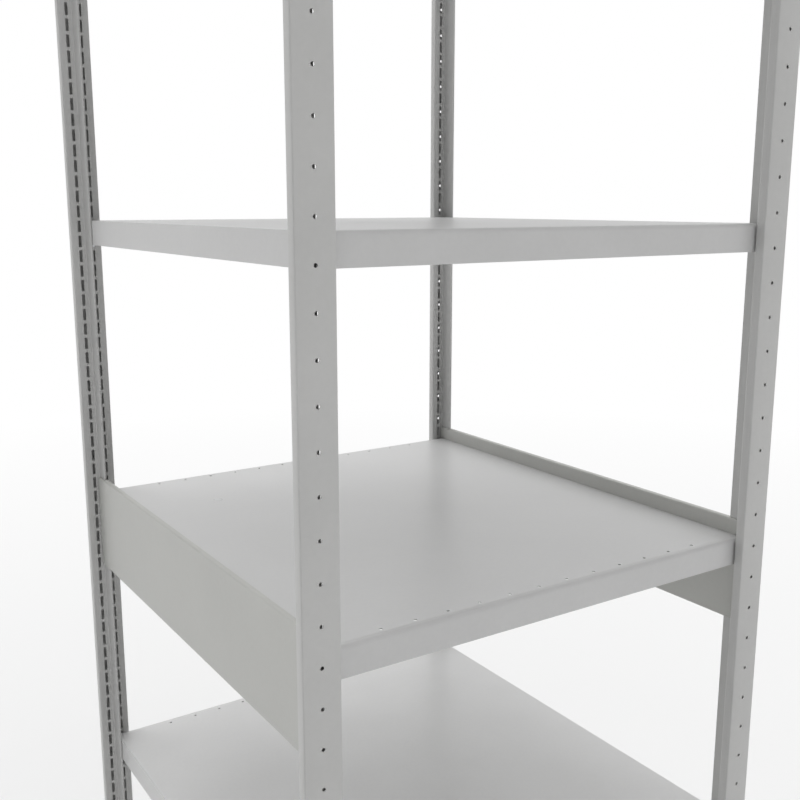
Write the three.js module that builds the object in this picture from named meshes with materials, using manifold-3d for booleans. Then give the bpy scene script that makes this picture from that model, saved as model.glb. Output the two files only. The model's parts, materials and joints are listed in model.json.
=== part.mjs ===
// Four-post slotted steel shelving unit: T-section uprights, adjustable shelf
// pans on hook-in clips, two deep side panels, post caps and levelling feet.
// Millimetres, +Z up. The origin is on the floor, under the middle of the
// footprint. -Y is the front, +X is the right-hand side seen from the front.
import * as THREE from 'three';
import { mergeGeometries, mergeVertices } from 'three/addons/utils/BufferGeometryUtils.js';
import Module from 'manifold-3d';

const wasm = await Module();
wasm.setup();

// ---------------------------------------------------------------- dimensions
const GAP = 0.3; // clearance between pieces that touch on the real object
const SHEET = 1.2; // sheet thickness of uprights, shelves and panels

const POST_PITCH = 750; // between upright centre planes, left to right
const UNIT_DEPTH = 832; // outer face of front uprights to outer face of rear ones
const UNIT_HEIGHT = 2100;

const POST_WIDTH = 50; // face of the box part of the T
const POST_BOX = 15; // depth of the box part
const POST_DEPTH = 45.6; // box and fin together
const POST_BEND = 1.8; // outside radius of the folds
const POST_FOOT_Z = 30; // lower end of the upright
const POST_TOP_Z = UNIT_HEIGHT - 5;

const GRID = 25; // height step of the slots
const GRID_START = 15; // height of slot centre number 0
const SLOT_WIDTH = 5;
const SLOT_LENGTH = 19.5;
const SLOT_OFFSET = 10.9; // slot column to the upright's centre plane
const FACE_HOLE_DIAMETER = 5; // accessory holes up the middle of the face
const FACE_HOLE_STEP = 2; // one hole for every second slot
const FACE_HOLE_SIDES = 6;

const SHELF_HEIGHTS = [100, 575, 1050, 1525, 2000]; // top of each deck
const PANELLED_SHELF = 2; // index of the shelf between the two side panels
const SHELF_THICKNESS = 40.5;
const SHELF_INSET = 18.3; // shelf flange behind the outer face of the uprights
const SHELF_WIDTH = POST_PITCH - 2 * SHEET - 2 * GAP;
const SHELF_BEND = 6; // outside radius of the front and rear edges
const SHELF_LIP = 14; // inward return along the lower edges
const SHELF_DEPTH = UNIT_DEPTH - 2 * SHELF_INSET;
const DECK_HOLE_DIAMETER = 5;
const DECK_HOLE_SIDES = 6;
const DECK_HOLE_PITCH = 50;
const DECK_HOLE_COUNT = 12;
const DECK_HOLE_INSET = 17; // hole row to the flange's outer face

const STIFFENER_WIDTH = 60;
const STIFFENER_FLANGE = 16;
const STIFFENER_DEPTH = 30;

const PANEL_THICKNESS = 10; // both skins together; the upright's fin fits inside
const PANEL_ABOVE = 24.7; // panel edge above its deck
const PANEL_BELOW = 138;
const PANEL_END_INSET = 17.5; // panel end behind the outer face of the upright

const CLIP_THICKNESS = 4;
const CLIP_TONGUE_LENGTH = 14;
const CLIP_SEAT_DEPTH = 20; // seat below the deck surface
const CLIP_UPPER_END = 4; // ends of the clip below the deck surface
const CLIP_LOWER_END = 38;
const CLIP_TONGUE_ROOT = 14; // height of the tongue at the plate
const CLIP_TONGUE_TIP = 6; // height of the tongue at its free end
const CLIP_SLOTS = [10, 35]; // slot centres below the deck surface
const PANEL_HOOK_SLOTS = [85, 110];
const PANEL_HOOK_LENGTH = 34; // along the panel, from the slotted wall
const PANEL_HOOK_UPPER_END = 70; // ends of the hook plate below the deck surface
const PANEL_HOOK_LOWER_END = 125;
const HOOK_NOSE_HEIGHT = 9;
const HOOK_NOSE_SLOPE = 2; // fall of the nose's upper edge towards its tip
const HOOK_REACH = 4.5; // nose behind the slotted wall
const HOOK_DROP = 3.5; // nose below the edge it hangs on

const FOOT_PLATE_THICKNESS = 3;
const FOOT_NUT_ACROSS = 19;
const HEXAGON = 6;
const FOOT_NUT_HEIGHT = 8;
const FOOT_STEM_DIAMETER = 10;
const FOOT_PAD_DIAMETER = 38;
const FOOT_PAD_HEIGHT = 9; // pad and collar together
const FOOT_PAD_RIM = 4; // height of the pad's upright rim
const FOOT_PAD_CHAMFER = 1;
const FOOT_COLLAR_DIAMETER = 15.2;
const FOOT_SIDES = 12;
const CAP_PLUG_DEPTH = 12;

// ------------------------------------------------------------------ finishes
const paint = (color, roughness) => () =>
  new THREE.MeshStandardMaterial({ color, roughness, metalness: 0.1 });
const GREY_PAINT = paint(0xc2c3c1, 0.45);
const DECK_PAINT = paint(0xcccdcb, 0.4);
const BLACK_PLASTIC = () =>
  new THREE.MeshStandardMaterial({ color: 0x2b2b2c, roughness: 0.7, metalness: 0 });
const GREY_PLASTIC = () =>
  new THREE.MeshStandardMaterial({ color: 0xb4b5b3, roughness: 0.6, metalness: 0 });
const ZINC = () =>
  new THREE.MeshStandardMaterial({ color: 0xb9bcc0, roughness: 0.35, metalness: 0.9 });

// --------------------------------------------------------------- solid tools
function solid(geometry) {
  const bare = geometry.index ? geometry.toNonIndexed() : geometry.clone();
  bare.deleteAttribute('normal');
  bare.deleteAttribute('uv');
  const merged = mergeVertices(bare, 1e-4);
  return new wasm.Manifold(new wasm.Mesh({
    numProp: 3,
    vertProperties: Float32Array.from(merged.attributes.position.array),
    triVerts: Uint32Array.from(merged.index.array),
  }));
}

function geometryOf(body) {
  const { vertProperties, triVerts } = body.getMesh();
  const geometry = new THREE.BufferGeometry();
  geometry.setAttribute('position', new THREE.BufferAttribute(vertProperties, 3));
  geometry.setIndex(new THREE.BufferAttribute(triVerts, 1));
  return geometry;
}

function boxGeometry([x0, x1], [y0, y1], [z0, z1]) {
  const geometry = new THREE.BoxGeometry(x1 - x0, y1 - y0, z1 - z0);
  return geometry.translate((x0 + x1) / 2, (y0 + y1) / 2, (z0 + z1) / 2);
}

const box = (x, y, z) => solid(boxGeometry(x, y, z));

function outline(points) {
  return new THREE.Shape(points.map(([x, y]) => new THREE.Vector2(x, y)));
}

// Extrudes an XY outline upwards from z0 to z1.
function upright(shape, z0, z1, curveSegments = 3) {
  const geometry = new THREE.ExtrudeGeometry(shape, {
    depth: z1 - z0, bevelEnabled: false, curveSegments,
  });
  return geometry.translate(0, 0, z0);
}

// Extrudes an outline drawn in Y (across) and Z (up) along X, from x0 to x1.
function crosswise(shape, x0, x1, curveSegments = 3) {
  const geometry = new THREE.ExtrudeGeometry(shape, {
    depth: x1 - x0, bevelEnabled: false, curveSegments,
  });
  const turn = new THREE.Matrix4().makeBasis(
    new THREE.Vector3(0, 1, 0), new THREE.Vector3(0, 0, 1), new THREE.Vector3(1, 0, 0),
  );
  return geometry.applyMatrix4(turn).translate(x0, 0, 0);
}

function verticalPin(x, y, z0, z1, diameter, sides) {
  const geometry = new THREE.CylinderGeometry(diameter / 2, diameter / 2, z1 - z0, sides);
  return geometry.rotateX(Math.PI / 2).translate(x, y, (z0 + z1) / 2);
}

const group = new THREE.Group();

function place(name, geometry, material, { x = 0, y = 0, z = 0, turned = false } = {}) {
  const mesh = new THREE.Mesh(geometry, material());
  mesh.name = name;
  mesh.position.set(x, y, z);
  mesh.rotation.z = turned ? Math.PI : 0;
  group.add(mesh);
}

// A corner is the place of one upright. Its local frame has y = 0 on the outer
// face and y growing towards the middle of the unit; a rear corner is turned
// half a turn. side is -1 on the left and 1 on the right.
const CORNERS = [
  { name: 'front_left', x: -1, y: -1 },
  { name: 'front_right', x: 1, y: -1 },
  { name: 'rear_left', x: -1, y: 1 },
  { name: 'rear_right', x: 1, y: 1 },
].map(({ name, x, y }) => ({
  name,
  side: x,
  at: { x: (x * POST_PITCH) / 2, y: (y * UNIT_DEPTH) / 2, turned: y > 0 },
}));

// ------------------------------------------------------------------ uprights
function teeOutline(bend) {
  const half = POST_WIDTH / 2;
  const shape = new THREE.Shape();
  shape.moveTo(-half + bend, 0);
  shape.lineTo(half - bend, 0);
  shape.absarc(half - bend, bend, bend, -Math.PI / 2, 0, false);
  shape.lineTo(half, POST_BOX);
  shape.lineTo(SHEET, POST_BOX);
  shape.lineTo(SHEET, POST_DEPTH);
  shape.lineTo(-SHEET, POST_DEPTH);
  shape.lineTo(-SHEET, POST_BOX);
  shape.lineTo(-half, POST_BOX);
  shape.lineTo(-half, bend);
  shape.absarc(-half + bend, bend, bend, Math.PI, 1.5 * Math.PI, false);
  return shape;
}

function gridHeights(lowest, highest) {
  const first = Math.ceil((lowest - GRID_START) / GRID);
  const last = Math.floor((highest - GRID_START) / GRID);
  return Array.from({ length: last - first + 1 }, (_, i) => ({
    row: first + i, z: GRID_START + (first + i) * GRID,
  }));
}

// The slots that clips and panel hooks hang in; the others are left uncut here.
const hookHeights = [
  ...SHELF_HEIGHTS.flatMap((deck) => CLIP_SLOTS.map((below) => deck - below)),
  ...PANEL_HOOK_SLOTS.map((below) => SHELF_HEIGHTS[PANELLED_SHELF] - below),
];

function postBody() {
  const shape = teeOutline(POST_BEND);
  const half = POST_WIDTH / 2 - SHEET;
  shape.holes.push(new THREE.Path([
    new THREE.Vector2(-half, SHEET), new THREE.Vector2(-half, POST_BOX - SHEET),
    new THREE.Vector2(half, POST_BOX - SHEET), new THREE.Vector2(half, SHEET),
  ]));
  const rows = gridHeights(POST_FOOT_Z + GRID, POST_TOP_Z - GRID);
  const slots = hookHeights.flatMap((z) => [-1, 1].map((side) => boxGeometry(
    [side * SLOT_OFFSET - SLOT_WIDTH / 2, side * SLOT_OFFSET + SLOT_WIDTH / 2],
    [POST_BOX - 2 * SHEET, POST_BOX + SHEET],
    [z - SLOT_LENGTH / 2, z + SLOT_LENGTH / 2],
  )));
  const holes = rows.filter(({ row }) => row % FACE_HOLE_STEP === 1).map(({ z }) => {
    const radius = FACE_HOLE_DIAMETER / 2;
    const pin = new THREE.CylinderGeometry(radius, radius, 4 * SHEET, FACE_HOLE_SIDES);
    return pin.translate(0, 0, z);
  });
  return solid(upright(shape, POST_FOOT_Z, POST_TOP_Z))
    .subtract(solid(mergeGeometries(slots)))
    .subtract(solid(mergeGeometries(holes)));
}

// A press-in cap: a plate over the whole T and a plug inside the box.
function capBody() {
  const plate = solid(upright(teeOutline(POST_BEND), POST_TOP_Z + GAP, UNIT_HEIGHT));
  const clear = SHEET + GAP;
  const plug = box(
    [-POST_WIDTH / 2 + clear, POST_WIDTH / 2 - clear],
    [clear, POST_BOX - clear],
    [POST_TOP_Z - CAP_PLUG_DEPTH, POST_TOP_Z + 2 * GAP],
  );
  return plate.add(plug);
}

// The foot plate closes the lower end of the upright; a nut is welded under it.
const FOOT_CENTRE = POST_DEPTH / 2;
const PLATE_TOP = POST_FOOT_Z - GAP;
const PLATE_BOTTOM = PLATE_TOP - FOOT_PLATE_THICKNESS;

function footPlateBody() {
  const half = POST_WIDTH / 2;
  const plate = box([-half, half], [0, POST_DEPTH], [PLATE_BOTTOM, PLATE_TOP]);
  const nut = solid(verticalPin(
    0, FOOT_CENTRE, PLATE_BOTTOM - FOOT_NUT_HEIGHT, PLATE_TOP - GAP, FOOT_NUT_ACROSS, HEXAGON,
  ));
  const bore = solid(verticalPin(
    0, FOOT_CENTRE, 0, POST_FOOT_Z, FOOT_STEM_DIAMETER + 3 * GAP, FOOT_SIDES,
  ));
  return plate.add(nut).subtract(bore);
}

// Pad, collar and threaded stem in one turned outline, about the foot's own axis.
function footGeometry() {
  const pad = FOOT_PAD_DIAMETER / 2;
  const collar = FOOT_COLLAR_DIAMETER / 2;
  const stem = FOOT_STEM_DIAMETER / 2;
  const stemTop = PLATE_TOP - FOOT_PAD_CHAMFER;
  const profile = [
    [0, 0], [pad - FOOT_PAD_CHAMFER, 0], [pad, FOOT_PAD_CHAMFER], [pad, FOOT_PAD_RIM],
    [collar, FOOT_PAD_HEIGHT - FOOT_PAD_CHAMFER], [collar, FOOT_PAD_HEIGHT],
    [stem, FOOT_PAD_HEIGHT], [stem, stemTop], [0, stemTop],
  ].map(([r, z]) => new THREE.Vector2(r, z));
  const geometry = new THREE.LatheGeometry(profile, FOOT_SIDES);
  return geometryOf(solid(geometry.rotateX(Math.PI / 2)));
}

const post = geometryOf(postBody());
const cap = geometryOf(capBody());
const footPlate = geometryOf(footPlateBody());
const foot = footGeometry();

for (const { name, at } of CORNERS) {
  place(`upright_${name}`, post, GREY_PAINT, at);
  place(`top_cap_${name}`, cap, GREY_PLASTIC, at);
  place(`foot_plate_${name}`, footPlate, GREY_PAINT, at);
  const middle = at.turned ? at.y - FOOT_CENTRE : at.y + FOOT_CENTRE;
  place(`levelling_foot_${name}`, foot, BLACK_PLASTIC, { x: at.x, y: middle });
}

// ------------------------------------------------------------------- shelves
const QUARTER_TURN = Math.PI / 2;

// Outer outline of the pan across its depth, started at the lower front corner.
function panOutline() {
  const half = SHELF_DEPTH / 2;
  const shape = new THREE.Shape();
  shape.moveTo(-half, -SHELF_THICKNESS);
  shape.lineTo(half, -SHELF_THICKNESS);
  shape.lineTo(half, -SHELF_BEND);
  shape.absarc(half - SHELF_BEND, -SHELF_BEND, SHELF_BEND, 0, QUARTER_TURN, false);
  shape.lineTo(-half + SHELF_BEND, 0);
  shape.absarc(-half + SHELF_BEND, -SHELF_BEND, SHELF_BEND, QUARTER_TURN, 2 * QUARTER_TURN, false);
  return shape;
}

// The same pan as folded sheet: deck, front and rear flanges, inward lips.
function panSection() {
  const half = SHELF_DEPTH / 2;
  const inner = SHELF_BEND - SHEET;
  const bottom = -SHELF_THICKNESS;
  const shape = new THREE.Shape();
  shape.moveTo(half, bottom);
  shape.lineTo(half, -SHELF_BEND);
  shape.absarc(half - SHELF_BEND, -SHELF_BEND, SHELF_BEND, 0, QUARTER_TURN, false);
  shape.lineTo(-half + SHELF_BEND, 0);
  shape.absarc(-half + SHELF_BEND, -SHELF_BEND, SHELF_BEND, QUARTER_TURN, 2 * QUARTER_TURN, false);
  shape.lineTo(-half, bottom);
  shape.lineTo(-half + SHELF_LIP, bottom);
  shape.lineTo(-half + SHELF_LIP, bottom + SHEET);
  shape.lineTo(-half + SHEET, bottom + SHEET);
  shape.lineTo(-half + SHEET, -SHELF_BEND);
  shape.absarc(-half + SHELF_BEND, -SHELF_BEND, inner, 2 * QUARTER_TURN, QUARTER_TURN, true);
  shape.lineTo(half - SHELF_BEND, -SHEET);
  shape.absarc(half - SHELF_BEND, -SHELF_BEND, inner, QUARTER_TURN, 0, true);
  shape.lineTo(half - SHEET, bottom + SHEET);
  shape.lineTo(half - SHELF_LIP, bottom + SHEET);
  shape.lineTo(half - SHELF_LIP, bottom);
  return shape;
}

const ordered = (a, b) => [Math.min(a, b), Math.max(a, b)];

// One side of the pan: its wall, rounded at both ends, and the inward lip.
function sideFlange(side, width) {
  const half = SHELF_DEPTH / 2 - SHEET / 2;
  const face = (side * width) / 2;
  const lip = ordered(face, face - side * SHELF_LIP);
  return solid(crosswise(panOutline(), ...ordered(face, face - side * SHEET)))
    .add(box(lip, [-half, half], [-SHELF_THICKNESS, -SHELF_THICKNESS + SHEET]));
}

// The flanges are open from below where the clips' tongues go in.
function clipNotch(side, end) {
  const centre = side * (POST_PITCH / 2 - SLOT_OFFSET);
  const halfWidth = CLIP_THICKNESS / 2 + 4 * GAP;
  const edge = end * SHELF_DEPTH / 2;
  return boxGeometry(
    [centre - halfWidth, centre + halfWidth],
    ordered(edge + end, edge - end * (CLIP_TONGUE_LENGTH + 1)),
    [-SHELF_THICKNESS - 1, -CLIP_SEAT_DEPTH],
  );
}

function shelfGeometry(width) {
  const holes = [-1, 1].flatMap((end) => Array.from({ length: DECK_HOLE_COUNT }, (_, i) => {
    const x = (i - (DECK_HOLE_COUNT - 1) / 2) * DECK_HOLE_PITCH;
    const y = end * (SHELF_DEPTH / 2 - DECK_HOLE_INSET);
    return verticalPin(x, y, -2 * SHEET, SHEET, DECK_HOLE_DIAMETER, DECK_HOLE_SIDES);
  }));
  const notches = [-1, 1].flatMap((side) => [-1, 1].map((end) => clipNotch(side, end)));
  const pan = solid(crosswise(panSection(), -width / 2, width / 2))
    .add(sideFlange(-1, width))
    .add(sideFlange(1, width))
    .subtract(solid(mergeGeometries(notches)))
    .subtract(solid(mergeGeometries(holes)));
  return geometryOf(pan);
}

// A hat channel welded under the deck, its open side up.
function stiffenerGeometry(width) {
  const half = STIFFENER_WIDTH / 2;
  const web = half - STIFFENER_FLANGE;
  const top = -SHEET - GAP;
  const low = top - STIFFENER_DEPTH;
  const shape = outline([
    [-half, top], [-half, top - SHEET], [-web, top - SHEET], [-web, low], [web, low],
    [web, top - SHEET], [half, top - SHEET], [half, top], [web - SHEET, top],
    [web - SHEET, low + SHEET], [-web + SHEET, low + SHEET], [-web + SHEET, top],
  ]);
  const end = width / 2 - SHEET - GAP;
  return crosswise(shape, -end, end);
}

const panelledWidth = POST_PITCH - PANEL_THICKNESS - 2 * GAP;
SHELF_HEIGHTS.forEach((z, index) => {
  const width = index === PANELLED_SHELF ? panelledWidth : SHELF_WIDTH;
  place(`shelf_${index + 1}`, shelfGeometry(width), DECK_PAINT, { z });
  place(`shelf_stiffener_${index + 1}`, stiffenerGeometry(width), GREY_PAINT, { z });
});

// --------------------------------------------------------------------- clips
const WALL = POST_BOX; // inner side of the slotted wall, in a corner's own frame

// A nose that passes through a slot and hangs over the slot's lower edge.
function hookNose(slotCentre) {
  const ledge = slotCentre - SLOT_LENGTH / 2 + GAP;
  const crest = ledge + HOOK_NOSE_HEIGHT;
  const behindWall = WALL - SHEET - GAP;
  const tip = WALL - SHEET - HOOK_REACH;
  return outline([
    [behindWall, ledge], [behindWall, ledge - HOOK_DROP], [tip, ledge - HOOK_DROP],
    [tip, crest - HOOK_NOSE_SLOPE], [WALL + 2 * GAP, crest], [WALL + 2 * GAP, ledge],
  ]);
}

// Plate in the gap between upright and shelf, with a tongue into the shelf.
function clipGeometry() {
  const flange = SHELF_INSET - GAP;
  const seat = -CLIP_SEAT_DEPTH - GAP;
  const tip = SHELF_INSET + CLIP_TONGUE_LENGTH;
  const plate = outline([
    [WALL + GAP, -CLIP_LOWER_END], [flange, -CLIP_LOWER_END], [flange, seat - CLIP_TONGUE_ROOT],
    [tip, seat - CLIP_TONGUE_TIP], [tip, seat], [flange, seat],
    [flange, -CLIP_UPPER_END], [WALL + GAP, -CLIP_UPPER_END],
  ]);
  const half = CLIP_THICKNESS / 2;
  const noses = CLIP_SLOTS.map((below) => solid(crosswise(hookNose(-below), -half, half)));
  return geometryOf(noses.reduce((body, nose) => body.add(nose), solid(crosswise(plate, -half, half))));
}

const clip = clipGeometry();
SHELF_HEIGHTS.forEach((z, index) => {
  for (const { name, side, at } of CORNERS) {
    place(`shelf_clip_${index + 1}_${name}`, clip, ZINC, { ...at, x: at.x - side * SLOT_OFFSET, z });
  }
});

// --------------------------------------------------------------- side panels
// Two skins joined along the top and bottom edges. The ends are open and slit
// from edge to edge to take the fins of the front and rear uprights.
function panelGeometry() {
  const half = PANEL_THICKNESS / 2;
  const inner = half - SHEET;
  const end = UNIT_DEPTH / 2 - PANEL_END_INSET;
  const finTip = UNIT_DEPTH / 2 - POST_DEPTH - 2 * GAP;
  const slit = SHEET + GAP;
  const hollow = box([-inner, inner], [-end - 1, end + 1], [SHEET - PANEL_BELOW, PANEL_ABOVE - SHEET]);
  const slits = [-1, 1].map((side) => boxGeometry(
    [-slit, slit], ordered(side * finTip, side * (end + 1)), [-PANEL_BELOW - 1, PANEL_ABOVE + 1],
  ));
  return geometryOf(box([-half, half], [-end, end], [-PANEL_BELOW, PANEL_ABOVE])
    .subtract(hollow)
    .subtract(solid(mergeGeometries(slits))));
}

// Hook plate of a panel, in a front corner's frame: it hangs in the slots below
// the shelf and its pad is welded to the panel's right-hand skin, so that the
// left and right panels are alike.
function panelHookGeometry() {
  const half = CLIP_THICKNESS / 2;
  const heights = [-PANEL_HOOK_LOWER_END, -PANEL_HOOK_UPPER_END];
  const plate = box([-half, half], [WALL + GAP, WALL + PANEL_HOOK_LENGTH], heights);
  const pad = box(
    [PANEL_THICKNESS / 2 + GAP - SLOT_OFFSET, 0],
    [WALL + PANEL_HOOK_LENGTH - CLIP_THICKNESS, WALL + PANEL_HOOK_LENGTH], heights,
  );
  const noses = PANEL_HOOK_SLOTS.map((below) => solid(crosswise(hookNose(-below), -half, half)));
  return noses.reduce((body, nose) => body.add(nose), plate.add(pad));
}

const panel = panelGeometry();
const hook = panelHookGeometry();
const hooks = {
  straight: geometryOf(hook),
  mirrored: geometryOf(hook.mirror([1, 0, 0])),
};
const deck = SHELF_HEIGHTS[PANELLED_SHELF];
place('side_panel_left', panel, GREY_PAINT, { x: -POST_PITCH / 2, z: deck });
place('side_panel_right', panel, GREY_PAINT, { x: POST_PITCH / 2, z: deck });
for (const { name, at } of CORNERS) {
  const form = at.turned ? 'mirrored' : 'straight';
  place(`panel_hook_${name}`, hooks[form], ZINC, { ...at, x: at.x + SLOT_OFFSET, z: deck });
}

export default group;
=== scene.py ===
import json
import math

import bmesh
import bpy
from mathutils import Matrix, Vector


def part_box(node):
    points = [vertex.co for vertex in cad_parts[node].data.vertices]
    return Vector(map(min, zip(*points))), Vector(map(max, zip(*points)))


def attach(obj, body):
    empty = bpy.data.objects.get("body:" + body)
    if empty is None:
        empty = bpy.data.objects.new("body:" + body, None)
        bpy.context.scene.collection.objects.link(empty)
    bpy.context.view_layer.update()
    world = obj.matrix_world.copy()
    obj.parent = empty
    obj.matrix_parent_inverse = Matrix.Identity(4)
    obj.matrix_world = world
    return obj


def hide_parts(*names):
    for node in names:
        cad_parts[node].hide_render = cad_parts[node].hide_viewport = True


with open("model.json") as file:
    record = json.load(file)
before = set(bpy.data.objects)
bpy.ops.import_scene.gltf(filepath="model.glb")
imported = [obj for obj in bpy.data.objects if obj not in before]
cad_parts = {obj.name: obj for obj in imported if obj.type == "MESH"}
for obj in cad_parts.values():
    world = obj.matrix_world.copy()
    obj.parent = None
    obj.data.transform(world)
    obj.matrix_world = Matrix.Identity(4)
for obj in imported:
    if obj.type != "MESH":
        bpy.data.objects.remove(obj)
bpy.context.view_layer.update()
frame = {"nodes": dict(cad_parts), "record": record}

MM = 0.001

# ---------------------------------------------------------------- dimensions
SHEET = 1.2
EDGE = 0.25  # rounding of cut sheet edges
EDGE_ANGLE = 40  # degrees; a sharper turn than this is an edge

POST_BOX = 15.0  # depth of the upright's box part
FIN_HALF = 1.2  # two leaves side by side
SEAM = 0.2  # between the two leaves of the fin
POST_BEND = 2.0
FIN_BEND = 1.5
GRID = 25.0
GRID_START = 15.0
SLOT = (5.0, 19.5, 1.0)  # width, length, corner radius
SLOT_OFFSET = 10.9
SLOT_CELL = (8.0, 22.0)
FACE_HOLE = 5.0
FACE_CELL = 8.0
FACE_HOLE_STEP = 2  # one face hole for every second slot

SHELF_BEND = 6.5
SHELF_SIDE_BEND = 1.5
FOLD_ANGLE = 60  # degrees; a sharper turn than this at the pan's ends and lips is a fold
SHELF_LIP = 14.0
LIP_RELIEF = 16.0  # the lips end this far from the pan's corners
DECK_HOLE = 5.0
DECK_CELL = 9.0
DECK_HOLE_PITCH = 50.0
DECK_HOLE_COUNT = 12
DECK_HOLE_INSET = 17.0
CREASE_INSET = 7.5  # pressed line along the front and rear edges
CREASE = (0.7, 0.3)  # width, depth
NOTCH_WIDTH = 6.4
NOTCH_TOP = 20.0

STIFFENER_FLANGE = 16.0
STIFFENER_BEND = 2.0

PANEL_BEND = 2.5
PANEL_SLIT = 1.5  # half width of the slit that takes a fin
PANEL_SLIT_CLEARANCE = 0.6

CAP_GAP = 0.3  # between a cap and the sheet round it
CAP_INNER_CORNER = 0.4
PLATE_THICKNESS = 3.0
PLATE_CHAMFER = 0.3
PLATE_CORNER = 2.5
NUT_ACROSS = 19.0
NUT_WASHER = 16.4  # round end face of the nut
NUT_CHAMFER = 1.1
NUT_BORE = 11.2
WELD_BEAD = 20.8
SUNK = 0.1  # how far joined bodies run into each other

STEM_DIAMETER = 10.0
THREAD_PITCH = 1.5
THREAD_DEPTH = 0.75
STEM_TIP = 1.2  # length of the tapered end
COLLAR_ACROSS = 15.2
PAD_SCALLOPS = 24
PAD_SCALLOP_DEPTH = 0.35

CORNERS = {
    "front_left": (-1, -1),
    "front_right": (1, -1),
    "rear_left": (-1, 1),
    "rear_right": (1, 1),
}
BODY_OF = {
    node: body
    for body, nodes in frame["record"]["behaviour"]["bodies"].items()
    for node in nodes
}


def near(a, b, margin=0.01):
    """Whether two lengths agree."""
    return abs(a - b) < margin


def size(node):
    """Lowest and highest corner of a CAD node in millimetres."""
    low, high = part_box(node)
    return low / MM, high / MM


# ---------------------------------------------------------------- mesh tools
def rounded(points, radii, steps=4):
    """The polyline with its inner corners turned into arcs. A radius of 0 keeps the corner."""
    result = [Vector(points[0])]
    for before, corner, after, radius in zip(points, points[1:], points[2:], radii):
        corner = Vector(corner)
        if not radius:
            result.append(corner)
            continue
        back = (Vector(before) - corner).normalized()
        ahead = (Vector(after) - corner).normalized()
        half = back.angle(ahead) / 2
        centre = corner + (back + ahead).normalized() * radius / math.sin(half)
        arm = corner + back * radius / math.tan(half) - centre
        turn = math.pi - 2 * half
        if back.x * ahead.y - back.y * ahead.x > 0:
            turn = -turn
        result += [centre + Matrix.Rotation(turn * k / steps, 2) @ arm for k in range(steps + 1)]
    return result + [Vector(points[-1])]


def spoke(radius, degrees):
    """The point at this distance and direction from the middle."""
    angle = math.radians(degrees)
    return Vector((radius * math.cos(angle), radius * math.sin(angle)))


def round_hole(diameter, sides=24):
    """Outline of a round hole, from the direction of its cell's first corner."""
    return [spoke(diameter / 2, 225 + 360 * k / sides) for k in range(sides)]


def slot_hole(width, length, radius):
    """Outline of a slot with rounded corners, from the middle of its first corner."""
    reach = Vector((width / 2 - radius, length / 2 - radius))
    centres = [Vector((x * reach.x, y * reach.y)) for x, y in ((-1, -1), (1, -1), (1, 1), (-1, 1))]
    outline = []
    for k, centre in enumerate(centres):
        middle = 225 + 90 * k
        following = centres[(k + 1) % 4]
        outline += [centre + spoke(radius, middle), centre + spoke(radius, middle + 45)]
        outline.append(following + spoke(radius, middle + 45))
    return outline


def window(bm, corners, outline):
    """Fills a flat cell but for the outline, which lies around the cell's middle."""
    first, across, along = corners[0].co, corners[1].co, corners[3].co
    middle = (across + along) / 2
    u = (across - first).normalized()
    v = (along - first).normalized()
    rim = [bm.verts.new(middle + u * x + v * y) for x, y in outline]
    quarter = len(rim) // 4
    for k in range(4):
        stretch = [rim[(k * quarter + n) % len(rim)] for n in range(quarter + 1)]
        bm.faces.new([corners[k], corners[(k + 1) % 4]] + stretch[::-1])


def skin(profile, rows, place, openings=None, closed=False):
    """A profile swept along rows. openings gives a cell's cut outline, or None for an empty cell."""
    openings = openings or {}
    bm = bmesh.new()
    grid = [[bm.verts.new(place(point, row)) for row in rows] for point in profile]
    if closed:
        grid.append(grid[0])
    for i, (left, right) in enumerate(zip(grid, grid[1:])):
        for j in range(len(rows) - 1):
            corners = (left[j], right[j], right[j + 1], left[j + 1])
            if (i, j) not in openings:
                bm.faces.new(corners)
            elif openings[i, j]:
                window(bm, corners, openings[i, j])
    drop_loose(bm)
    return bm


def drop_loose(bm):
    """Deletes the points that only empty cells would have used."""
    loose = [vertex for vertex in bm.verts if not vertex.link_faces]
    bmesh.ops.delete(bm, geom=loose, context="VERTS")


def loft(rings, capped=True):
    """A closed body through rings with equal numbers of points, from the bottom up."""
    bm = bmesh.new()
    loops = [[bm.verts.new(point) for point in ring] for ring in rings]
    for low, high in zip(loops, loops[1:]):
        for k in range(len(low)):
            n = (k + 1) % len(low)
            bm.faces.new((low[k], low[n], high[n], high[k]))
    if capped:
        bm.faces.new(loops[0][::-1])
        bm.faces.new(loops[-1])
    return bm


def join(*parts):
    """One bmesh out of several."""
    whole = bmesh.new()
    for part in parts:
        mesh = bpy.data.meshes.new("part")
        part.to_mesh(mesh)
        part.free()
        whole.from_mesh(mesh)
        bpy.data.meshes.remove(mesh)
    return whole


def piece(name, bm, node, slot, at=None, sheet=0.0, edge=EDGE, replaces=True):
    """Turns a bmesh in millimetres into a finished piece that rides with a CAD node."""
    mesh = bpy.data.meshes.new(name)
    bm.to_mesh(mesh)
    bm.free()
    mesh.transform(Matrix.Scale(MM, 4) @ (at or Matrix.Identity(4)))
    mesh.shade_smooth()
    obj = bpy.data.objects.new(name, mesh)
    bpy.context.scene.collection.objects.link(obj)
    if sheet:
        solidify = obj.modifiers.new("sheet", "SOLIDIFY")
        solidify.thickness = sheet * MM
        solidify.offset = -1
        solidify.use_even_offset = True
    finish(obj, slot, edge)
    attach(obj, BODY_OF[node])
    if replaces:
        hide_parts(node)
    return obj


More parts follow.
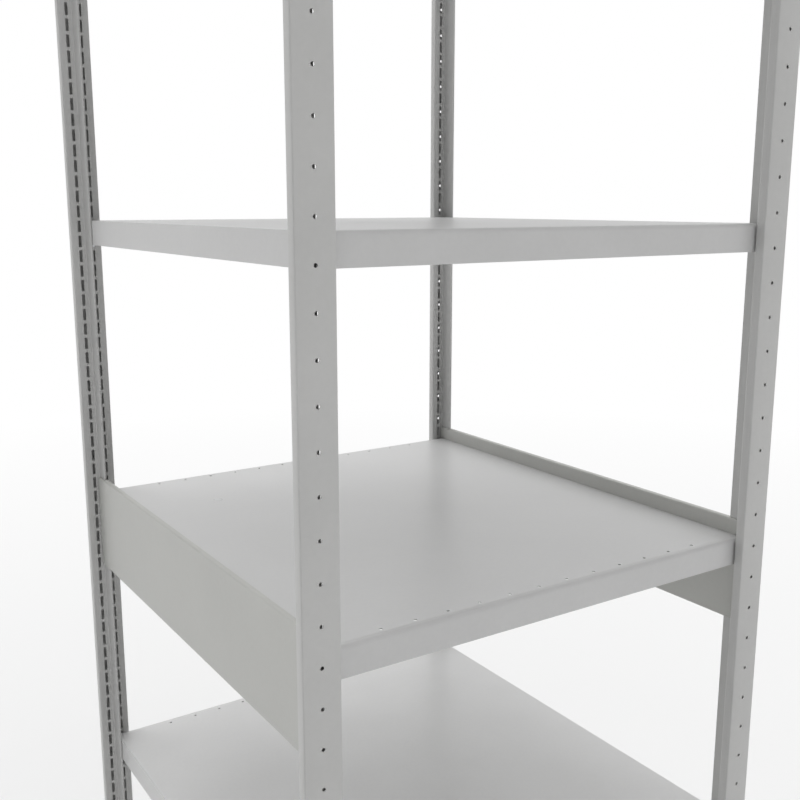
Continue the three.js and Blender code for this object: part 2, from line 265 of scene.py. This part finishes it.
def finish(obj, slot, edge):
    """Rounds the edges and gives the surface its material, and the rounded edges their paler one, which is
    edge wear and a painted highlight.
    """
    surface, worn_edge_with_painted_highlight = MATERIALS[slot]
    obj.data.materials.clear()
    obj.data.materials.append(surface)
    obj.data.materials.append(worn_edge_with_painted_highlight)
    bevel = obj.modifiers.new("edges", "BEVEL")
    # The bevel faces get the paler edge material: edge wear and a painted highlight along every rounded edge.
    bevel.material = 1
    bevel.width = edge * MM
    bevel.segments = 2
    bevel.limit_method = "ANGLE"
    bevel.angle_limit = math.radians(EDGE_ANGLE)
    bevel.harden_normals = True


# ----------------------------------------------------------------- materials
def calculate(tree, operation, a, b):
    """A Math node on two values, each a number or another node's output."""
    node = tree.nodes.new("ShaderNodeMath")
    node.operation = operation
    for socket, value in zip(node.inputs, (a, b)):
        if isinstance(value, (int, float)):
            socket.default_value = value
        else:
            tree.links.new(value, socket)
    return node.outputs["Value"]


class Shader:
    """A material's node tree around one Principled shader."""

    def __init__(self, name):
        self.material = bpy.data.materials.new(name)
        self.material.use_nodes = True
        self.nodes = self.material.node_tree.nodes
        self.links = self.material.node_tree.links
        self.principled = self.nodes["Principled BSDF"]
        self.place = self.nodes.new("ShaderNodeTexCoord").outputs["Object"]

    def set(self, **values):
        for name, value in values.items():
            self.principled.inputs[name.replace("_", " ")].default_value = value
        return self

    def noise(self, scale, detail):
        """Noise with about this many patches to a metre."""
        noise = self.nodes.new("ShaderNodeTexNoise")
        noise.inputs["Scale"].default_value = scale
        noise.inputs["Detail"].default_value = detail
        self.links.new(self.place, noise.inputs["Vector"])
        return noise.outputs["Fac"]

    def spread(self, value, low, high, to_low, to_high):
        """Turns the range low to high into to_low to to_high."""
        node = self.nodes.new("ShaderNodeMapRange")
        node.clamp = False
        ends = {"From Min": low, "From Max": high, "To Min": to_low, "To Max": to_high}
        for name, number in ends.items():
            node.inputs[name].default_value = number
        self.links.new(value, node.inputs["Value"])
        return node.outputs["Result"]

    def math(self, operation, a, b):
        return calculate(self.material.node_tree, operation, a, b)

    def mix(self, factor, a, b):
        """Two colours mixed by a factor."""
        node = self.nodes.new("ShaderNodeMix")
        node.data_type = "RGBA"
        node.clamp_factor = False
        node.inputs["A"].default_value = (*a, 1)
        node.inputs["B"].default_value = (*b, 1)
        self.links.new(factor, node.inputs["Factor"])
        return node.outputs["Result"]

    def bump(self, height, distance, strength):
        """Relief whose full height is a distance in millimetres."""
        node = self.nodes.new("ShaderNodeBump")
        node.inputs["Distance"].default_value = distance * MM
        node.inputs["Strength"].default_value = strength
        self.links.new(height, node.inputs["Height"])
        self.links.new(node.outputs["Normal"], self.principled.inputs["Normal"])

    def link(self, output, name):
        self.links.new(output, self.principled.inputs[name])


def powder_coat(name, colour, roughness):
    """Powder coat with orange peel and faint mottling."""
    shader = Shader(name).set(Metallic=0.0, Specular_IOR_Level=0.5)
    mottle = shader.noise(7.0, 3.0)
    fine = shader.noise(160.0, 2.0)
    blend = shader.math("ADD", shader.math("MULTIPLY", mottle, 0.7), shader.math("MULTIPLY", fine, 0.3))
    base = shader.mix(shader.spread(blend, 0.2, 0.8, 0, 1), scaled(colour, 0.95), scaled(colour, 1.05))
    shader.link(base, "Base Color")
    shader.link(shader.spread(mottle, 0.3, 0.7, roughness - 0.02, roughness + 0.03), "Roughness")
    texture = shader.math("MULTIPLY", shader.noise(1800.0, 0.0), 0.25)
    peel = shader.math("ADD", shader.noise(520.0, 1.0), texture)
    shader.bump(peel, 0.03, 0.4)
    return shader.material


def zinc(name, colour, roughness):
    """Bright zinc plating with a faint crystalline patchwork."""
    shader = Shader(name).set(Metallic=1.0)
    cells = shader.nodes.new("ShaderNodeTexVoronoi")
    cells.inputs["Scale"].default_value = 380.0
    shader.links.new(shader.place, cells.inputs["Vector"])
    grain = cells.outputs["Distance"]
    tone = shader.mix(shader.spread(grain, 0, 0.7, 0, 1), scaled(colour, 0.87), scaled(colour, 1.12))
    shader.link(tone, "Base Color")
    haze = shader.noise(60.0, 3.0)
    shader.link(shader.spread(haze, 0.3, 0.7, roughness - 0.09, roughness + 0.09), "Roughness")
    shader.bump(shader.math("ADD", grain, haze), 0.03, 0.4)
    return shader.material


def plastic(name, colour, roughness):
    """Moulded plastic with a fine spark-eroded grain."""
    shader = Shader(name).set(Metallic=0.0)
    grain = shader.noise(900.0, 3.0)
    patch = shader.noise(25.0, 2.0)
    tone = shader.mix(shader.spread(patch, 0.3, 0.7, 0, 1), scaled(colour, 0.92), colour)
    shader.link(tone, "Base Color")
    shader.link(shader.spread(grain, 0.3, 0.7, roughness - 0.08, roughness + 0.08), "Roughness")
    shader.bump(grain, 0.06, 0.6)
    return shader.material


def scaled(colour, factor):
    """The colour brighter or darker by a factor."""
    return tuple(min(1, channel * factor) for channel in colour)


def with_edge(kind, name, colour, roughness, wear_and_highlight_tone, edge_roughness):
    """A material for the surface, and a paler one of its own roughness for the edges, which is edge wear and
    a painted highlight.
    """
    surface = kind(name, colour, roughness)
    return surface, kind(f"{name}_edge", scaled(colour, wear_and_highlight_tone), edge_roughness)


PAINT = (0.53, 0.53, 0.522)
SHELF_PAINT = (0.58, 0.58, 0.578)
PANEL_PAINT = (0.49, 0.492, 0.47)
ZINC = (0.60, 0.615, 0.635)
CAP_GREY = (0.36, 0.36, 0.355)
FOOT_BLACK = (0.022, 0.022, 0.023)
# The number after each roughness makes the rounded edges paler: partly edge wear, partly a painted highlight.
MATERIALS = {
    "post_paint": with_edge(powder_coat, "post_paint", PAINT, 0.42, 1.12, 0.48),
    "shelf_paint": with_edge(powder_coat, "shelf_paint", SHELF_PAINT, 0.30, 1.12, 0.38),
    "panel_paint": with_edge(powder_coat, "panel_paint", PANEL_PAINT, 0.42, 1.12, 0.48),
    "clip_zinc": with_edge(zinc, "clip_zinc", ZINC, 0.33, 1.15, 0.22),
    "cap_plastic": with_edge(plastic, "cap_plastic", CAP_GREY, 0.55, 1.08, 0.45),
    "foot_plastic": with_edge(plastic, "foot_plastic", FOOT_BLACK, 0.50, 1.5, 0.40),
}


# ------------------------------------------------------------------ uprights
def corner_place(name):
    """From an upright's own frame, y = 0 on its outer face and growing inwards, to the unit's frame."""
    low, high = size(f"upright_{name}")
    middle = (low.x + high.x) / 2
    if CORNERS[name][1] < 0:
        return Matrix.Translation((middle, low.y, 0))
    return Matrix.Translation((middle, high.y, 0)) @ Matrix.Rotation(math.pi, 4, "Z")


def tee_profile(width, depth):
    """Outer outline of the upright from the left leaf's tip round the face to the right leaf's tip."""
    half = width / 2
    inner, outer = SLOT_OFFSET - SLOT_CELL[0] / 2, SLOT_OFFSET + SLOT_CELL[0] / 2
    left = [
        (-FIN_HALF, depth), (-FIN_HALF, POST_BOX), (-inner, POST_BOX), (-outer, POST_BOX),
        (-half, POST_BOX), (-half, 0), (-FACE_CELL / 2, 0),
    ]
    right = [(-x, y) for x, y in reversed(left)]
    radii = [FIN_BEND, 0, 0, POST_BEND, POST_BEND, 0]
    return rounded(left + right, radii + radii[::-1])


def upright(name):
    """The folded T section with its face holes and its two columns of slots."""
    node = f"upright_{name}"
    low, high = size(node)
    profile = tee_profile(high.x - low.x, high.y - low.y)
    first = math.ceil((low.z - GRID_START) / GRID) + 1  # the ends stay whole
    last = math.floor((high.z - GRID_START) / GRID) - 1
    centres = {row: GRID_START + row * GRID for row in range(first, last + 1)}
    rows = [low.z, high.z]
    for z in centres.values():
        rows += [z - SLOT_CELL[1] / 2, z + SLOT_CELL[1] / 2]
    rows.sort()
    middles = [((a.x + b.x) / 2, a.y) for a, b in zip(profile, profile[1:])]
    on_wall = [i for i, (x, y) in enumerate(middles) if near(y, POST_BOX) and near(abs(x), SLOT_OFFSET)]
    on_face = [i for i, (x, y) in enumerate(middles) if near(y, 0) and near(x, 0)]
    openings = {}
    for row, z in centres.items():
        j = rows.index(z - SLOT_CELL[1] / 2)
        for i in on_wall:
            openings[i, j] = slot_hole(*SLOT)
        if row % FACE_HOLE_STEP:
            for i in on_face:
                openings[i, j] = round_hole(FACE_HOLE)
    bm = skin(profile, rows, lambda p, z: (p.x, p.y, z), openings)
    piece(f"post_{name}", bm, node, "post_paint", corner_place(name), SHEET - SEAM / 2)


# ---------------------------------------------------- caps, foot plates, feet
def tee_rings(width, depth, levels):
    """Rings of the T outline, each level with its own inset from the full outline."""
    half = width / 2
    rings = []
    for z, inset in levels:
        fin = FIN_HALF - inset * 0.6
        x, wall = half - inset, POST_BOX - inset
        right = [(x, inset), (x, wall), (fin, wall), (fin, depth - inset)]
        left = [(-x, y) for x, y in reversed(right)]
        radii = [POST_BEND, POST_BEND, CAP_INNER_CORNER, CAP_INNER_CORNER]
        outline = rounded([(0, inset), *right, *left, (-0.5, inset)], radii + radii[::-1])
        rings.append([(p.x, p.y, z) for p in outline])
    return rings


def box_rings(half, front, back, levels, radius):
    """Rings of a rectangle with rounded corners, each level with its own inset."""
    rings = []
    for z, inset in levels:
        x, near_y, far_y = half - inset, front + inset, back - inset
        points = [(0, near_y), (x, near_y), (x, far_y), (-x, far_y), (-x, near_y), (-0.5, near_y)]
        rings.append([(p.x, p.y, z) for p in rounded(points, [radius] * 4)])
    return rings


def cap(name):
    """A crowned plate over the whole T, with a plug that goes into the box."""
    node = f"top_cap_{name}"
    post_low, post_high = size(f"upright_{name}")
    low, high = size(node)
    width, depth = post_high.x - post_low.x, post_high.y - post_low.y
    under = post_high.z + CAP_GAP
    crown = [(under, 0.3), (under + 0.4, 0), (high.z - 2.2, 0), (high.z - 0.9, 0.35),
             (high.z - 0.2, 0.75), (high.z, 0.95)]
    plate = loft(tee_rings(width, depth, crown))
    clear = SHEET + CAP_GAP
    half = width / 2 - clear
    plug_levels = [(low.z, 1.2), (low.z + 3, 0.3), (under - 1, 0.05), (under + 0.2, 0.05)]
    plug = loft(box_rings(half, clear, POST_BOX - clear, plug_levels, 1.0))
    piece(f"cap_{name}", join(plate, plug), node, "cap_plastic", corner_place(name), edge=0.2)


def hexagon(across, count=24):
    """As many points as a circle has, round a hexagon with its corners on that circle."""
    corners = [spoke(across / 2, 30 + 60 * k) for k in range(7)]
    share = count // 6
    return [corners[k].lerp(corners[k + 1], n / share) for k in range(6) for n in range(share)]


def circle(diameter, count=24):
    """Points round a circle, from the direction of the hexagon's first corner."""
    return [spoke(diameter / 2, 30 + 360 * k / count) for k in range(count)]


def ring(points, z, centre):
    """Flat points lifted to a height and moved to a centre."""
    return [(p.x + centre.x, p.y + centre.y, z) for p in points]


def foot_plate(name):
    """The plate that closes an upright's lower end, with its weld nut and the bead of weld round it."""
    node = f"foot_plate_{name}"
    low, high = size(node)
    width, depth = high.x - low.x, high.y - low.y
    centre = Vector((0, depth / 2))
    plate_low = high.z - PLATE_THICKNESS
    plate_levels = [(plate_low, PLATE_CHAMFER), (plate_low + PLATE_CHAMFER, 0),
                    (high.z - PLATE_CHAMFER, 0), (high.z, PLATE_CHAMFER)]
    plate = loft(box_rings(width / 2, 0, depth, plate_levels, PLATE_CORNER))
    nut_levels = [
        (circle(NUT_BORE), low.z + 0.6), (circle(NUT_BORE + 1), low.z), (circle(NUT_WASHER), low.z),
        (hexagon(NUT_ACROSS), low.z + NUT_CHAMFER), (hexagon(NUT_ACROSS), plate_low + SUNK),
        (circle(NUT_BORE), plate_low + SUNK),
    ]
    nut = loft([ring(points, z, centre) for points, z in nut_levels], capped=False)
    bead_levels = [
        (circle(WELD_BEAD - 3.8), plate_low - 1.6), (circle(WELD_BEAD - 1.2), plate_low - 0.9),
        (circle(WELD_BEAD), plate_low + SUNK), (circle(WELD_BEAD - 3.8), plate_low + SUNK),
    ]
    bead = loft([ring(points, z, centre) for points, z in bead_levels], capped=False)
    for part in (nut, bead):
        close_tube(part)
    whole = join(plate, nut, bead)
    piece(f"foot_plate_and_nut_{name}", whole, node, "post_paint", corner_place(name), edge=0.2)


def close_tube(bm):
    """Joins the first and last ring of a tube, which face each other."""
    edges = [edge for edge in bm.edges if edge.is_boundary]
    bmesh.ops.bridge_loops(bm, edges=edges)
    bmesh.ops.recalc_face_normals(bm, faces=bm.faces)


def foot(name):
    """Pad with a scalloped rim, hexagon collar, and a threaded stem up to the nut."""
    node = f"levelling_foot_{name}"
    low, high = size(node)
    centre = Vector(((low.x + high.x) / 2, (low.y + high.y) / 2))
    radius = (high.x - low.x) / 2
    # height, share of the full radius, and whether the scallops reach this level
    pad_levels = [
        (0.0, 0.80, 0), (0.0, 0.93, 0), (0.35, 0.965, 0), (1.0, 1.0, 1), (3.2, 1.0, 1), (3.9, 0.975, 1),
        (4.3, 0.93, 0), (5.0, 0.80, 0), (6.0, 0.60, 0), (6.6, 0.48, 0),
    ]
    rings = [ring(scalloped(radius * share, PAD_SCALLOP_DEPTH * scallop), low.z + z, centre)
             for z, share, scallop in pad_levels]
    pad = loft(rings)
    points = 48
    collar_levels = [
        (circle(COLLAR_ACROSS - 1.6, points), 6.2), (hexagon(COLLAR_ACROSS, points), 6.9),
        (hexagon(COLLAR_ACROSS, points), 8.5), (circle(COLLAR_ACROSS - 1.8, points), 9.0),
        (circle(COLLAR_ACROSS - 4.6, points), 9.0),
    ]
    collar = loft([ring(outline, low.z + z, centre) for outline, z in collar_levels])
    piece(f"foot_pad_{name}", join(pad, collar), node, "foot_plastic", edge=0.15)
    rod = stem(low.z + 8.5, high.z, centre)
    piece(f"foot_stem_{name}", rod, node, "clip_zinc", edge=0.05, replaces=False)


def scalloped(radius, depth, count=144):
    """Points round a circle with shallow rounded hollows."""
    rim = []
    for k in range(count):
        angle = 360 * k / count
        hollow = (1 - math.cos(math.radians(PAD_SCALLOPS * angle))) / 2
        rim.append(spoke(radius - depth * hollow, angle))
    return rim


def stem(bottom, top, centre):
    """A threaded rod: the radius rises and falls once a turn along a helix."""
    sides, step = 32, 0.25
    rings = []
    count = round((top - bottom) / step)
    for n in range(count + 1):
        z = bottom + (top - bottom) * n / count
        taper = 0.6 * (1 - min(1, (top - z) / STEM_TIP))
        points = []
        for k in range(sides):
            turn = (z / THREAD_PITCH - k / sides) % 1
            flank = 1.2 * (1 - abs(2 * turn - 1)) - 0.1
            groove = THREAD_DEPTH * min(1, max(0, flank))
            points.append(spoke(STEM_DIAMETER / 2 - groove - taper, 360 * k / sides))
        rings.append(ring(points, z, centre))
    return loft(rings)


# ------------------------------------------------------------------- shelves
def mirrored(values):
    """The values and their negatives in order, those that coincide only once."""
    return sorted({round(s * v, 3) for v in values for s in (-1, 1)})


def shelf(index):
    """A folded pan: deck, front and rear flanges over a soft bend, side flanges and inward lips."""
    node = f"shelf_{index}"
    low, high = size(node)
    end, half, deep = (high.x - low.x) / 2, (high.y - low.y) / 2, high.z - low.z
    hole_y = half - DECK_HOLE_INSET
    crease_y = half - CREASE_INSET
    crease_width, crease_depth = CREASE
    rear = [
        (hole_y - DECK_CELL / 2, 0), (hole_y + DECK_CELL / 2, 0), (crease_y - crease_width, 0),
        (crease_y, -crease_depth), (crease_y + crease_width, 0), (half, 0), (half, -NOTCH_TOP),
        (half, -deep), (half - SHELF_LIP, -deep),
    ]
    front = [(-y, z) for y, z in reversed(rear)]
    radii = [0, 0, 0, 0, 0, SHELF_BEND, 0, 0]
    profile = rounded(front + rear, radii[::-1] + radii, 6)
    clip_low, clip_high = size(f"shelf_clip_{index}_front_right")
    notch_x = (clip_low.x + clip_high.x) / 2
    holes = [(k - (DECK_HOLE_COUNT - 1) / 2) * DECK_HOLE_PITCH for k in range(DECK_HOLE_COUNT)]
    rows = mirrored([end, end - LIP_RELIEF, notch_x - NOTCH_WIDTH / 2, notch_x + NOTCH_WIDTH / 2])
    rows = sorted(rows + [x + s * DECK_CELL / 2 for x in holes for s in (-1, 1)])
    openings = {}
    for i, (a, b) in enumerate(zip(profile, profile[1:])):
        is_lip = near(a.y, -deep) and near(b.y, -deep)
        is_low = near(min(a.y, b.y), -deep) and near(max(a.y, b.y), -NOTCH_TOP)
        is_holed = near(a.y, 0) and near(b.y, 0) and near(abs(a.x + b.x) / 2, hole_y)
        for j, (x0, x1) in enumerate(zip(rows, rows[1:])):
            middle = (x0 + x1) / 2
            if is_lip and abs(middle) > end - LIP_RELIEF:
                openings[i, j] = None
            if is_low and near(abs(middle), notch_x):
                openings[i, j] = None
            if is_holed and any(near(middle, x) for x in holes):
                openings[i, j] = round_hole(DECK_HOLE)
    bm = skin(profile, rows, lambda p, x: (-x, p.x, p.y), openings)
    for side in (-1, 1):
        side_flange(bm, side * end, half, deep)
    fold(bm, end, deep)
    piece(f"shelf_pan_{index}", bm, node, "shelf_paint", Matrix.Translation((0, 0, high.z)), SHEET)


def side_flange(bm, x, half, deep):
    """Closes one end of the pan and adds its lip."""
    inward = -math.copysign(SHELF_LIP, x)
    bm.verts.ensure_lookup_table()
    outline = [v for v in bm.verts if near(v.co.x, x)]
    outline.sort(key=lambda v: (round(v.co.y, 2), v.co.z if v.co.y < 0 else -v.co.z))
    corners = [bm.verts.new((x + dx, s * (half - LIP_RELIEF), -deep)) for dx, s in
               ((0, 1), (0, -1), (inward, -1), (inward, 1))]
    wall = outline + corners[:2]
    lip = [corners[1], corners[0], corners[3], corners[2]]
    if x > 0:
        wall.reverse()
        lip.reverse()
    bm.faces.new(wall)
    bm.faces.new(lip)


def fold(bm, end, deep):
    """Rounds the folds along the pan's ends and lips."""
    edges = []
    for edge in bm.edges:
        if len(edge.link_faces) != 2 or edge.calc_face_angle() < math.radians(FOLD_ANGLE):
            continue
        if all(near(abs(v.co.x), end) or near(v.co.z, -deep) for v in edge.verts):
            edges.append(edge)
    bmesh.ops.bevel(bm, geom=edges, offset=SHELF_SIDE_BEND, offset_type="OFFSET", segments=3,
                    profile=0.5, affect="EDGES", clamp_overlap=True)
    bmesh.ops.remove_doubles(bm, verts=bm.verts, dist=0.005)


def stiffener(index):
    """A hat section under the deck, its flanges against the sheet."""
    node = f"shelf_stiffener_{index}"
    low, high = size(node)
    half, top, bottom = (high.y - low.y) / 2, high.z, low.z
    web = half - STIFFENER_FLANGE
    inner = web - SHEET
    base = bottom + SHEET
    outline = [(-half, top), (-inner, top), (-inner, base), (inner, base), (inner, top), (half, top)]
    profile = rounded(outline, [STIFFENER_BEND] * 4)
    bm = skin(profile, [low.x, high.x], lambda p, x: (-x, p.x, p.y))
    piece(f"stiffener_{index}", bm, node, "post_paint", sheet=SHEET)


# --------------------------------------------------------------- side panels
def side_panel(name):
    """Two skins joined by rounded top and bottom edges, slit at both ends for the uprights' fins."""
    node = f"side_panel_{name}"
    low, high = size(node)
    middle = (low.x + high.x) / 2
    post_low, _ = size("upright_rear_left")
    slit_y = post_low.y - PANEL_SLIT_CLEARANCE
    half = (high.x - low.x) / 2
    loop = [
        (-PANEL_SLIT, high.z), (PANEL_SLIT, high.z), (half, high.z), (half, low.z), (PANEL_SLIT, low.z),
        (-PANEL_SLIT, low.z), (-half, low.z), (-half, high.z), (-PANEL_SLIT, high.z),
    ]
    bends = [PANEL_BEND, PANEL_BEND]
    profile = rounded(loop, [0, *bends, 0, 0, *bends], 5)[:-1]
    rows = [low.y, -slit_y, slit_y, high.y]
    openings = {}
    for i, a in enumerate(profile):
        b = profile[(i + 1) % len(profile)]
        if near(abs(a.x), PANEL_SLIT) and near(abs(b.x), PANEL_SLIT) and near(a.y, b.y):
            openings[i, 0] = None
            openings[i, 2] = None
    bm = skin(profile, rows, lambda p, y: (p.x, y, p.y), openings, closed=True)
    piece(f"panel_{name}", bm, node, "panel_paint", Matrix.Translation((middle, 0, 0)), SHEET)


# ------------------------------------------------ clips and hooks (from CAD)
WELD_DISTANCE = 0.02
PLATE_EDGE = 0.4


def finish_plate(node):
    """Stamped zinc-plated plates keep their CAD shape and get rounded edges."""
    obj = frame["nodes"][node]
    weld = obj.modifiers.new("weld", "WELD")
    weld.merge_threshold = WELD_DISTANCE * MM
    finish(obj, "clip_zinc", PLATE_EDGE)
    obj.data.shade_smooth()


for corner in CORNERS:
    upright(corner)
    cap(corner)
    foot_plate(corner)
    foot(corner)
for number in range(1, 6):
    shelf(number)
    stiffener(number)
for hand in ("left", "right"):
    side_panel(hand)
for node_name in frame["nodes"]:
    if node_name.startswith(("shelf_clip", "panel_hook")):
        finish_plate(node_name)


# -------------------------------------------------- floor, light and camera
# Brightness of the studio's light against the sine of its elevation.
REAR_LIGHT = ((0.0, 3.5), (0.30, 3.5), (0.40, 2.4), (1.0, 2.4))
SIDE_LIGHT = ((0.0, 0.0), (0.32, 0.0), (0.38, 1.5), (0.66, 1.5), (0.74, 0.0), (1.0, 0.0))
TOP_LIGHT = ((0.0, 0.0), (0.66, 0.0), (0.74, 0.7), (1.0, 0.7))
MIRRORED_WHITE = 0.78  # what glossy surfaces see of the white surroundings
FLOOR_GREY = 0.76
# Metres and degrees from here on.
FLOOR_RADIUS = 40
FLOOR_FADE = (1.5, 6.0)  # distance where the floor starts to glow, and where it is all white
CAMERA_PLACE = (-0.8746, -1.3376, 1.5528)
CAMERA_DOWN = 11.103
CAMERA_RIGHT = 33.239


def floor():
    """A pale floor that fades to white towards the horizon."""
    bm = bmesh.new()
    bmesh.ops.create_circle(bm, cap_ends=True, radius=FLOOR_RADIUS, segments=96)
    mesh = bpy.data.meshes.new("floor")
    bm.to_mesh(mesh)
    bm.free()
    obj = bpy.data.objects.new("floor", mesh)
    bpy.context.scene.collection.objects.link(obj)
    shader = Shader("floor").set(Roughness=0.9, Base_Color=(FLOOR_GREY, FLOOR_GREY, FLOOR_GREY, 1))
    length = shader.nodes.new("ShaderNodeVectorMath")
    length.operation = "LENGTH"
    shader.links.new(shader.place, length.inputs[0])
    far = shader.math("MAXIMUM", shader.spread(length.outputs["Value"], *FLOOR_FADE, 0, 1), 0.0)
    glow = shader.nodes.new("ShaderNodeEmission")
    mix = shader.nodes.new("ShaderNodeMixShader")
    shader.links.new(far, mix.inputs[0])
    shader.links.new(shader.principled.outputs["BSDF"], mix.inputs[1])
    shader.links.new(glow.outputs["Emission"], mix.inputs[2])
    output = shader.nodes["Material Output"]
    shader.links.new(mix.outputs[0], output.inputs["Surface"])
    mesh.materials.append(shader.material)


def ramp(tree, height, stops):
    """Brightness by height above the horizon, from (sine of the elevation, brightness) stops."""
    node = tree.nodes.new("ShaderNodeFloatCurve")
    curve = node.mapping.curves[0]
    scale = max(brightness for _, brightness in stops)
    for point, (place, brightness) in zip(curve.points, (stops[0], stops[-1])):
        point.location = (place, brightness / scale)
    for place, brightness in stops[1:-1]:
        curve.points.new(place, brightness / scale)
    node.mapping.update()
    tree.links.new(height, node.inputs["Value"])
    return calculate(tree, "MULTIPLY", node.outputs["Value"], scale)


def studio():
    """White surroundings for the camera; soft light from above, behind, the right and the front."""
    world = bpy.data.worlds.new("studio")
    bpy.context.scene.world = world
    world.use_nodes = True
    tree = world.node_tree
    nodes, links = tree.nodes, tree.links
    background = nodes["Background"]
    background.inputs["Color"].default_value = (1, 1, 1, 1)
    split = nodes.new("ShaderNodeSeparateXYZ")
    links.new(nodes.new("ShaderNodeTexCoord").outputs["Generated"], split.inputs[0])
    x, y, height = split.outputs

    def squared(operation, value):
        return calculate(tree, "POWER", calculate(tree, operation, value, 0.0), 2.0)

    def lit(share, stops):
        return calculate(tree, "MULTIPLY", calculate(tree, "DIVIDE", share, level), ramp(tree, height, stops))

    # Squared length of the direction's level part, which never quite reaches 0.
    level = calculate(tree, "SUBTRACT", 1.001, calculate(tree, "POWER", height, 2.0))
    right_and_front = calculate(tree, "ADD", squared("MAXIMUM", x), squared("MINIMUM", y))
    walls = calculate(tree, "ADD", lit(squared("MAXIMUM", y), REAR_LIGHT), lit(right_and_front, SIDE_LIGHT))
    light = calculate(tree, "ADD", walls, ramp(tree, height, TOP_LIGHT))
    path = nodes.new("ShaderNodeLightPath")
    mirror = calculate(tree, "MULTIPLY", path.outputs["Is Glossy Ray"], MIRRORED_WHITE - 1)
    seen = calculate(tree, "ADD", mirror, 1.0)
    choice = nodes.new("ShaderNodeMix")
    links.new(path.outputs["Is Diffuse Ray"], choice.inputs["Factor"])
    links.new(seen, choice.inputs["A"])
    links.new(light, choice.inputs["B"])
    links.new(choice.outputs["Result"], background.inputs["Strength"])
    bpy.context.scene.view_settings.view_transform = "Standard"


def camera():
    """Eye height, in front of the unit's left corner, turned 33 degrees to the right."""
    lens = bpy.data.cameras.new("camera")
    lens.sensor_width = 36
    lens.lens = 45
    obj = bpy.data.objects.new("camera", lens)
    bpy.context.scene.collection.objects.link(obj)
    obj.location = CAMERA_PLACE
    obj.rotation_euler = (math.radians(90 - CAMERA_DOWN), 0, math.radians(-CAMERA_RIGHT))
    bpy.context.scene.camera = obj


floor()
studio()
camera()
